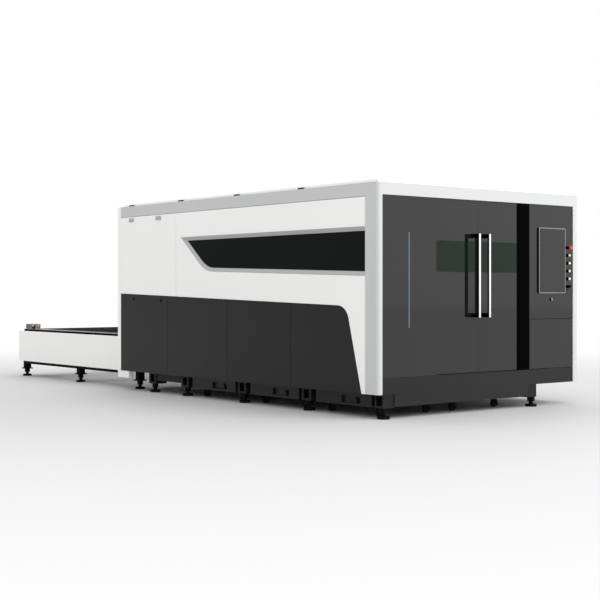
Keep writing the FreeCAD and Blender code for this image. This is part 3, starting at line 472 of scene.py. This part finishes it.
def makeTwoToneShadeSplit(name, axis, start, end, first, second, look):
    # dark below the band and light above it; on the table frame the dark covers the black frame and also
    # the rail's side faces, where it is painted shade from the gap under the rail, and the light grey is
    # the rail's top face
    material, tree, shader = startMaterial(name, look)
    mask = zoneMask(tree, axis, start, end)
    grain = placeGroup(tree, "paintGrain", **{"Grain Scale": 400, "Cloud Scale": 1.4})
    wear = placeGroup(tree, "rubWear", Amount=0.34)
    base = mixColors(tree, mask, first, second)
    shade = mixColors(tree, grain.outputs["Tone"], scaled(first, 0.8), scaled(first, 1.2))
    base = mixColors(tree, mask, shade, base)
    base = mixColors(tree, spread(tree, wear.outputs["Mask"], 0, 0.25, 0, 1), base, (0.3, 0.3, 0.3))
    tree.links.new(base, shader.inputs["Base Color"])
    tree.links.new(spread(tree, grain.outputs["Tone"], look["roughness"] * 0.85, look["roughness"] * 1.2),
                   shader.inputs["Roughness"])
    addBump(tree, shader, grain.outputs["Height"], 0.2, 0.0004)
    return material


materials["handle"] = makeHandleFinish()
# table frame: near-black below z 0.6552 and light grey above; the dark on the rail's sides is painted
# shade from the gap under the rail
materials["tableFrameShadedSides"] = makeTwoToneShadeSplit("tableFrameShadedSidesPaint", "Z", 0.6552, 0.6556, (0.004, 0.004, 0.004),
                                      (0.5, 0.51, 0.51), {"roughness": 0.5, "specular": 0.03})
print("materials ready:", len(materials))

nodeMaterials = {
    "silver": ["front_frame", "side_frames"],
    "white": ["rear_portal", "left_upper_panel", "left_rear_hatch", "right_upper_panel",
              "table_panels", "rear_wall", "roof_panels"],
    "dark": ["left_lower_panels", "right_lower_panels", "cart_1", "cart_2", "cart_3", "cart_4",
             "carriage"],
    "gloss": ["front_left_panel", "left_door", "right_door", "console_housing", "console_door"],
    "skirt": ["front_skirt", "base_front_plate"],
    # the entry column's near-black finish is painted deep shade
    "columnShade": ["entry_column"],
    "bevel": ["left_window_frame", "hatch_hinges"],
    "sideGlass": ["left_window_glass"],
    "doorGlass": ["left_door_glass", "right_door_glass"],
    "strip": ["led_strip"],
    "handle": ["left_door_handle", "right_door_handle"],
    "black": ["bed_frame", "door_tracks"],
    "blackPlastic": ["roof_lugs", "button_collars", "levelling_feet", "monitor", "console_lock",
                     "key_switch"],
    "red": ["emergency_stop"],
    "lensGreen": ["push_button_1"],
    "lensYellow": ["push_button_2", "push_button_3", "push_button_4"],
    "steel": ["gantry_rails", "cutting_head"],
    "darkSteel": ["upper_pallet", "lower_pallet"],
    "tableFrameShadedSides": ["table_frame"],
    "motor": ["table_drive", "gantry_beam"],
    "rubber": [f"cart_{number}_{side}_wheels" for number in (1, 2, 3, 4) for side in ("outer", "inner")],
}
for finish, names in nodeMaterials.items():
    for name in names:
        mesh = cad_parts[name].data
        mesh.materials.clear()
        mesh.materials.append(materials[finish])
print("CAD nodes finished")


# monitor: glass face inside a thin plated rim

monitorSizes = {"rim": 0.009, "rimStandOut": 0.0015, "corner": 0.016, "glassInset": 0.003}


def makeMonitor():
    low, high = nodeBox("monitor")
    front = low.y
    clearSelection()
    bpy.ops.mesh.primitive_plane_add(size=1)
    rim = takeActive("monitorRim")
    rim.scale = (high.x - low.x, high.z - low.z, 1)
    rim.rotation_euler = faceAhead
    rim.location = ((low.x + high.x) / 2, front + 0.004, (low.z + high.z) / 2)
    applyPlace(rim)
    bpy.ops.object.mode_set(mode="EDIT")
    bpy.ops.mesh.select_all(action="SELECT")
    bpy.ops.mesh.bevel(offset=monitorSizes["corner"], segments=6, affect="VERTICES")
    bpy.ops.mesh.inset(thickness=monitorSizes["rim"])
    bpy.ops.mesh.delete(type="FACE")
    bpy.ops.object.mode_set(mode="OBJECT")
    applyModifier(rim, "SOLIDIFY", thickness=0.004 + monitorSizes["rimStandOut"], offset=1)
    applyModifier(rim, "BEVEL", width=0.0015, segments=2, limit_method="ANGLE")
    finishPiece(rim, materials["rim"], "root")
    inset = monitorSizes["rim"] + monitorSizes["glassInset"] - 0.004
    glass = softBox("monitorGlass", (low.x + inset, front - 0.0012, low.z + inset),
                    (high.x - inset, front + 0.003, high.z - inset), 0.0006)
    finishPiece(glass, materials["gloss"], "root")


makeMonitor()


# controls: bezel rings, the small port below the key, and the console lock's face and bezel

controlSizes = {"ringRadius": 0.0155}


def makeControls():
    rings = []
    for number in (1, 2, 3, 4):
        low, high = nodeBox(f"push_button_{number}")
        collarFront = low.y + 0.009
        middle = ((low.x + high.x) / 2, collarFront + 0.0015, (low.z + high.z) / 2)
        radius = controlSizes["ringRadius"]
        rings.append(turnedPiece(f"ring{number}", middle, faceAhead,
                                 [(radius, 0), (radius, 0.001), (radius * 0.93, 0.0025),
                                  (radius * 0.78, 0.0025), (radius * 0.73, 0.0002)], 40))
    finishPiece(joinPieces(rings, "buttonRings"), materials["plated"], "root")
    low, high = nodeBox("key_switch")
    x = (low.x + high.x) / 2
    z = (low.z + high.z) / 2 - 0.0315
    panelFront = nodeBox("console_housing")[0].y
    port = turnedPiece("servicePort", (x, panelFront + 0.001, z), faceAhead,
                       [(0.008, 0), (0.008, 0.003), (0.0065, 0.0045), (0.0045, 0.0045), (0.004, 0.001)])
    finishPiece(port, materials["blackPlastic"], "root")
    low, high = nodeBox("console_lock")
    place = Vector(((low.x + high.x) / 2, low.y + 0.0025, (low.z + high.z) / 2))
    face = turnedPiece("lockFace", place, faceAhead,
                       [(0.0105, 0), (0.0112, 0.0012), (0.0112, 0.0026), (0.0098, 0.0034),
                        (0.0075, 0.0034), (0.0068, 0.0012)], 40)
    finishPiece(face, materials["plated"], "console_lock")
    bezel = turnedPiece("lockBezel", (place.x, panelFront + 0.0005, place.z), faceAhead,
                        [(0.0165, 0), (0.0165, 0.003), (0.0148, 0.0046), (0.0112, 0.0046),
                         (0.0108, 0.001)], 40)
    finishPiece(bezel, materials["blackPlastic"], "root")


makeControls()
print("monitor and controls ready")


# quarter-turn locks on the rear dark panel, below the hatch

lockSizes = {"radius": 0.016, "below": 0.055, "fromHingeEnd": 0.0525, "ahead": 0.05, "slope": 0.0261}


def makePanelLocks():
    low, high = nodeBox("hatch_hinges")
    panelLow, panelHigh = nodeBox("left_lower_panels")
    r = lockSizes["radius"]
    first = low.y + lockSizes["fromHingeEnd"]
    apart = high.y - lockSizes["fromHingeEnd"] - first
    z = panelHigh.z - lockSizes["below"] - lockSizes["slope"] * (panelHigh.y - first)
    lock = turnedPiece("lock", (panelLow.x + 0.001, first - lockSizes["ahead"], z), faceLeft,
                       [(r, 0), (r, 0.003), (r * 0.86, 0.0055), (r * 0.5, 0.0055), (r * 0.46, 0.003)])
    locks = [lock, copyAt(lock, "lockTwo", (0, apart, lockSizes["slope"] * apart))]
    finishPiece(joinPieces(locks, "panelLocks"), materials["blackPlastic"], "root")


makePanelLocks()


# door edges: rubber seal strips where the leaves meet

sealSizes = {"width": 0.0007, "depth": 0.012, "clear": 0.01}


def makeDoorSeals():
    for side, inner in (("left", 1), ("right", -1)):
        low, high = nodeBox(f"{side}_door")
        edge = high.x if side == "left" else low.x
        x0, x1 = sorted((edge, edge + inner * sealSizes["width"]))
        seal = softBox(f"{side}DoorSeal", (x0, low.y + 0.004, low.z + sealSizes["clear"]),
                       (x1, low.y + 0.004 + sealSizes["depth"], high.z - sealSizes["clear"]), 0.0002)
        finishPiece(seal, materials["rubber"], f"{side}_door")


makeDoorSeals()


# pallets: saw-toothed tops on the slats

slatSizes = {"pitch": 0.1, "tooth": 0.05, "height": 0.012, "thickness": 0.006, "margin": 0.056}


def makeSlatTeeth(node):
    low, high = nodeBox(node)
    clearSelection()
    bpy.ops.mesh.primitive_cone_add(vertices=4, radius1=slatSizes["tooth"] * 0.7071, radius2=0.003,
                                    depth=slatSizes["height"], rotation=(0, 0, math.radians(45)),
                                    location=(low.x + slatSizes["margin"] + slatSizes["tooth"] / 2,
                                              low.y + slatSizes["pitch"] / 2,
                                              high.z - slatSizes["height"] / 2 + 0.0035))
    teeth = takeActive(f"{node.split('_')[0]}SlatTeeth")
    applyPlace(teeth)
    bpy.ops.object.mode_set(mode="EDIT")
    bpy.ops.mesh.select_all(action="SELECT")
    center = (0, low.y + slatSizes["pitch"] / 2, high.z)
    bpy.ops.transform.resize(value=(1, (slatSizes["thickness"] + 0.001) / slatSizes["tooth"], 1),
                             center_override=center)
    bpy.ops.object.mode_set(mode="OBJECT")
    across = int((high.x - low.x - 2 * slatSizes["margin"]) / slatSizes["tooth"])
    along = int((high.y - low.y) / slatSizes["pitch"])
    applyModifier(teeth, "ARRAY", count=across, use_relative_offset=False, use_constant_offset=True,
                  constant_offset_displace=(slatSizes["tooth"], 0, 0))
    applyModifier(teeth, "ARRAY", count=along, use_relative_offset=False, use_constant_offset=True,
                  constant_offset_displace=(0, slatSizes["pitch"], 0))
    finishPiece(teeth, materials["darkSteel"], node)


for palletNode in ("upper_pallet", "lower_pallet"):
    makeSlatTeeth(palletNode)
print("door seals and pallet slats ready")


# exchange table drive: cooling ribs over its cover and the sensor's fittings

driveSizes = {"length": 0.155, "coverHeight": 0.062, "ribs": 9, "ribPitch": 0.0165,
              "ribThickness": 0.004, "ribOut": 0.005, "postGap": 0.035, "postLength": 0.09}


def makeTableDrive():
    low, high = nodeBox("table_drive")
    top = nodeBox("table_frame")[1].z
    start = high.y - driveSizes["length"] + 0.008
    out = driveSizes["ribOut"]
    ribTop = top + driveSizes["coverHeight"] + out
    rib = softBox("driveRibs", (low.x - out, start, top + 0.003),
                  (low.x + 0.12, start + driveSizes["ribThickness"], ribTop), 0.0012)
    applyModifier(rib, "ARRAY", count=driveSizes["ribs"], use_relative_offset=False,
                  use_constant_offset=True,
                  constant_offset_displace=(0, driveSizes["ribPitch"], 0))
    finishPiece(rib, materials["motor"], "root")
    postMiddle = high.y - driveSizes["length"] - driveSizes["postGap"] - driveSizes["postLength"] / 2
    stations = [(0.019, -0.001), (0.019, 0.006), (0.014, 0.0075), (0.014, 0.02), (0.01, 0.022),
                (0.01, 0.03), (0.006, 0.032)]
    nut = turnedPiece("positionSensor", (low.x, postMiddle - 0.012, top + 0.046), faceLeft, stations, 6)
    finishPiece(nut, materials["brass"], "root")
    cap = turnedPiece("sensorCap", (low.x + 0.039, low.y + 0.03, top + 0.044), faceAhead,
                      [(0.0105, 0), (0.0135, 0.002), (0.0135, 0.03), (0.0105, 0.034), (0.006, 0.034)], 24)
    finishPiece(cap, materials["orange"], "root")
    plate = softBox("sensorPlate", (low.x - 0.004, postMiddle - 0.04, top + 0.001),
                    (low.x + 0.001, postMiddle + 0.04, top + 0.06), 0.0012)
    finishPiece(plate, materials["blackPlastic"], "root")


makeTableDrive()


# carts: V shaped latch in each grip pocket, then hub caps on the wheels

cartSizes = {"gripLength": 0.27, "gripHeight": 0.068, "gripBelowTop": 0.032, "gripShift": 0.114,
             "latchFromEnd": 0.05, "latchDepth": 0.012, "pocketDepth": 0.024, "latchTilt": 24,
             "barHalf": 0.005}


def makeCartDetails(number):
    cart = f"cart_{number}"
    low, high = nodeBox(cart)
    toRight = number == 4
    faceX = high.x if toRight else low.x
    inward = -1 if toRight else 1
    middle = (low.y + high.y) / 2 - cartSizes["gripShift"] - cartSizes["gripLength"] / 2
    middle += cartSizes["latchFromEnd"]
    top = high.z - cartSizes["gripBelowTop"]
    foot = top - cartSizes["gripHeight"]
    back = faceX + inward * cartSizes["pocketDepth"]
    bars = []
    for lean in (-1, 1):
        x0, x1 = sorted((back, back - inward * cartSizes["latchDepth"]))
        bar = softBox(f"latch{lean}", (x0, middle - cartSizes["barHalf"], foot + 0.003),
                      (x1, middle + cartSizes["barHalf"], top - 0.004), 0.001)
        bpy.ops.object.mode_set(mode="EDIT")
        bpy.ops.mesh.select_all(action="SELECT")
        bpy.ops.transform.rotate(value=math.radians(cartSizes["latchTilt"]) * lean, orient_axis="X",
                                 center_override=(faceX, middle, foot))
        bpy.ops.object.mode_set(mode="OBJECT")
        bars.append(bar)
    finishPiece(joinPieces(bars, f"cartLatch{number}"), materials["blackPlastic"], cart)


def makeHubs():
    # a hub cap on the outer face of each wheel, modelled once and copied
    stations = [(0.026, -0.001), (0.026, 0.002), (0.022, 0.0035), (0.011, 0.0035), (0.009, 0.007),
                (0.005, 0.0075)]
    near = turnedPiece("nearHub", (0, 0, 0), faceAhead, stations)
    far = turnedPiece("farHub", (0, 0, 0), (math.radians(-90), 0, 0), stations)
    for number in (1, 2, 3, 4):
        for side in ("outer", "inner"):
            node = f"cart_{number}_{side}_wheels"
            low, high = nodeBox(node)
            x, z = (low.x + high.x) / 2, (low.z + high.z) / 2
            pair = [copyAt(near, "hub", (x, low.y, z)), copyAt(far, "hub", (x, high.y, z))]
            finishPiece(joinPieces(pair, f"cartHubs{number}{side}"), materials["blackPlastic"], node)
    bpy.data.objects.remove(near)
    bpy.data.objects.remove(far)


for cartNumber in (1, 2, 3, 4):
    makeCartDetails(cartNumber)
makeHubs()
print("table drive and carts ready")


# gantry: a cable chain behind the beam, and the head's fittings

gantrySizes = {"link": 0.05, "chainHeight": 0.06}


def makeGantryDetails():
    low, high = nodeBox("gantry_beam")
    chain = softBox("chainLink", (low.x + 0.06, high.y - 0.05, high.z + 0.002),
                    (low.x + 0.06 + gantrySizes["link"] * 0.9, high.y - 0.004,
                     high.z + gantrySizes["chainHeight"]), 0.006)
    count = int((high.x - low.x - 0.12) / gantrySizes["link"])
    applyModifier(chain, "ARRAY", count=count, use_relative_offset=False, use_constant_offset=True,
                  constant_offset_displace=(gantrySizes["link"], 0, 0))
    chain.name = "cableChain"
    finishPiece(chain, materials["blackPlastic"], "gantry")
    headLow, headHigh = nodeBox("cutting_head")
    x = (headLow.x + headHigh.x) / 2
    y = (headLow.y + headHigh.y) / 2
    tip = turnedPiece("nozzleTip", (x, y, headLow.z), (0, 0, 0),
                      [(0.0045, 0), (0.0075, 0.008), (0.013, 0.018), (0.013, 0.024), (0.016, 0.026)])
    finishPiece(tip, materials["copper"], "cutting_head")
    cover = softBox("headCover", (headLow.x + 0.004, headLow.y - 0.02, headLow.z + 0.2),
                    (headHigh.x - 0.004, headLow.y + 0.01, headHigh.z - 0.03), 0.008, 3)
    finishPiece(cover, materials["silver"], "cutting_head")
    fiber = turnedPiece("fiberSocket", (x, y, headHigh.z - 0.002), (0, 0, 0),
                        [(0.03, 0), (0.03, 0.02), (0.024, 0.026), (0.024, 0.06), (0.017, 0.066),
                         (0.017, 0.1), (0.012, 0.104)])
    finishPiece(fiber, materials["steel"], "cutting_head")


makeGantryDetails()


# right side: louvred vents; rear: brush strip over the pallets' way in

ventSizes = {"width": 0.42, "height": 0.3, "slats": 9, "z": 0.52}


def makeVents():
    low, high = nodeBox("right_lower_panels")
    for index, y in enumerate((low.y + 0.55, low.y + 1.65)):
        slat = softBox("slat", (high.x - 0.001, y - ventSizes["width"] / 2, ventSizes["z"]),
                       (high.x + 0.006, y + ventSizes["width"] / 2, ventSizes["z"] + 0.022), 0.0025)
        bpy.ops.object.mode_set(mode="EDIT")
        bpy.ops.mesh.select_all(action="SELECT")
        bpy.ops.transform.rotate(value=math.radians(8), orient_axis="Y",
                                 center_override=(high.x, y, ventSizes["z"]))
        bpy.ops.object.mode_set(mode="OBJECT")
        applyModifier(slat, "ARRAY", count=ventSizes["slats"], use_relative_offset=False,
                      use_constant_offset=True, constant_offset_displace=(0, 0, 0.034))
        slat.name = f"sideVent{index + 1}"
        finishPiece(slat, materials["dark"], "root")


brushSizes = {"top": 1.0, "side": 0.02, "drop": 0.22, "pitch": 0.012, "thickness": 0.007}


def makeRearBrush():
    high = nodeBox("rear_wall")[1]
    tableLow, tableHigh = nodeBox("table_frame")
    top = brushSizes["top"]
    left, right = tableLow.x + brushSizes["side"], tableHigh.x - brushSizes["side"]
    holder = softBox("brushHolder", (left, high.y, top), (right, high.y + 0.012, top + 0.05), 0.002)
    finishPiece(holder, materials["steel"], "root")
    tuft = softBox("tuft", (left, high.y + 0.002, top - brushSizes["drop"]),
                   (left + brushSizes["thickness"], high.y + 0.008, top + 0.004), 0.0015, 1)
    count = int((right - left) / brushSizes["pitch"])
    applyModifier(tuft, "ARRAY", count=count, use_relative_offset=False, use_constant_offset=True,
                  constant_offset_displace=(brushSizes["pitch"], 0, 0))
    tuft.name = "rearBrush"
    finishPiece(tuft, materials["blackPlastic"], "root")


makeVents()
makeRearBrush()
print("gantry, vents and rear brush ready")


# room: pale floor that fades out, soft surrounding light and one broad light from the front

roomLook = {"floor": (0.53, 0.53, 0.527), "fadeStart": 4.5, "fadeEnd": 11.0, "floorHalf": 60}


def makeFloor():
    clearSelection()
    bpy.ops.mesh.primitive_grid_add(x_subdivisions=8, y_subdivisions=8, size=2 * roomLook["floorHalf"])
    floor = takeActive("floor")
    material, tree, shader = startMaterial("paleFloor", {"roughness": 0.65, "specular": 0.2})
    grain = placeGroup(tree, "paintGrain", **{"Grain Scale": 90, "Cloud Scale": 0.35})
    tone = mixColors(tree, grain.outputs["Tone"], scaled(roomLook["floor"], 0.97),
                     scaled(roomLook["floor"], 1.03))
    tree.links.new(tone, shader.inputs["Base Color"])
    coord = tree.nodes.new("ShaderNodeTexCoord")
    length = tree.nodes.new("ShaderNodeVectorMath")
    length.operation = "LENGTH"
    tree.links.new(coord.outputs["Object"], length.inputs[0])
    glow = tree.nodes.new("ShaderNodeEmission")
    fade = spread(tree, length.outputs["Value"], 0, 1, roomLook["fadeStart"], roomLook["fadeEnd"])
    mix = tree.nodes.new("ShaderNodeMixShader")
    tree.links.new(fade, mix.inputs[0])
    tree.links.new(shader.outputs[0], mix.inputs[1])
    tree.links.new(glow.outputs[0], mix.inputs[2])
    tree.links.new(mix.outputs[0], tree.nodes["Material Output"].inputs["Surface"])
    floor.data.materials.append(material)


worldLook = {"base": 0.78, "sideways": 0.42, "top": 0.9, "toward": (0.62, -0.78, 0)}


def makeWorld():
    # brighter towards the front, dimmer on the left, plain white straight behind
    world = bpy.data.worlds.new("studio")
    bpy.context.scene.world = world
    world.use_nodes = True
    tree = world.node_tree
    nodes, links = tree.nodes, tree.links
    back = nodes["Background"]
    coord = nodes.new("ShaderNodeTexCoord")
    dot = nodes.new("ShaderNodeVectorMath")
    dot.operation = "DOT_PRODUCT"
    dot.inputs[1].default_value = worldLook["toward"]
    links.new(coord.outputs["Generated"], dot.inputs[0])
    side = nodes.new("ShaderNodeMath")
    side.operation = "MULTIPLY_ADD"
    side.inputs[1].default_value = worldLook["sideways"]
    side.inputs[2].default_value = worldLook["base"]
    links.new(dot.outputs["Value"], side.inputs[0])
    split = nodes.new("ShaderNodeSeparateXYZ")
    links.new(coord.outputs["Generated"], split.inputs[0])
    up = nodes.new("ShaderNodeMath")
    up.operation = "MAXIMUM"
    up.inputs[1].default_value = 0
    links.new(split.outputs["Z"], up.inputs[0])
    total = nodes.new("ShaderNodeMath")
    total.operation = "MULTIPLY_ADD"
    total.inputs[1].default_value = worldLook["top"]
    links.new(up.outputs[0], total.inputs[0])
    links.new(side.outputs[0], total.inputs[2])
    links.new(total.outputs[0], back.inputs["Strength"])
    seen = nodes.new("ShaderNodeBackground")
    path = nodes.new("ShaderNodeLightPath")
    mix = nodes.new("ShaderNodeMixShader")
    links.new(path.outputs["Is Camera Ray"], mix.inputs[0])
    links.new(back.outputs[0], mix.inputs[1])
    links.new(seen.outputs[0], mix.inputs[2])
    seen.inputs["Color"].default_value = (1, 1, 1, 1)
    back.inputs["Color"].default_value = (1, 1, 1, 1)
    links.new(mix.outputs[0], nodes["World Output"].inputs["Surface"])


lightLook = {"place": (5.0, -16.0, 9.0), "target": (0.3, -3.0, 1.0), "size": 9.0, "power": 900}


def makeLight():
    clearSelection()
    bpy.ops.object.light_add(type="AREA", location=lightLook["place"])
    light = bpy.context.active_object
    light.name = "frontLight"
    light.data.size = lightLook["size"]
    light.data.energy = lightLook["power"]
    aim = Vector(lightLook["target"]) - Vector(lightLook["place"])
    light.rotation_euler = aim.to_track_quat("-Z", "Y").to_euler()


cameraLook = {"fromCorner": (-7.69, -8.47, 1.196), "turn": -38.64, "lens": 74.5, "shift": -0.016}


def makeCamera():
    # placed from the cabin's front left corner at floor level
    corner = nodeBox("front_frame")[0]
    away = cameraLook["fromCorner"]
    bpy.ops.object.camera_add(location=(corner.x + away[0], corner.y + away[1], away[2]),
                              rotation=(math.radians(90), 0, math.radians(cameraLook["turn"])))
    camera = bpy.context.active_object
    camera.name = "mainCamera"
    camera.data.lens = cameraLook["lens"]
    camera.data.sensor_width = 36
    camera.data.shift_y = cameraLook["shift"]
    camera.data.clip_end = 300
    bpy.context.scene.camera = camera


makeFloor()
makeWorld()
makeLight()
makeCamera()
bpy.context.scene.view_settings.view_transform = "Standard"
print("room, light and camera ready")
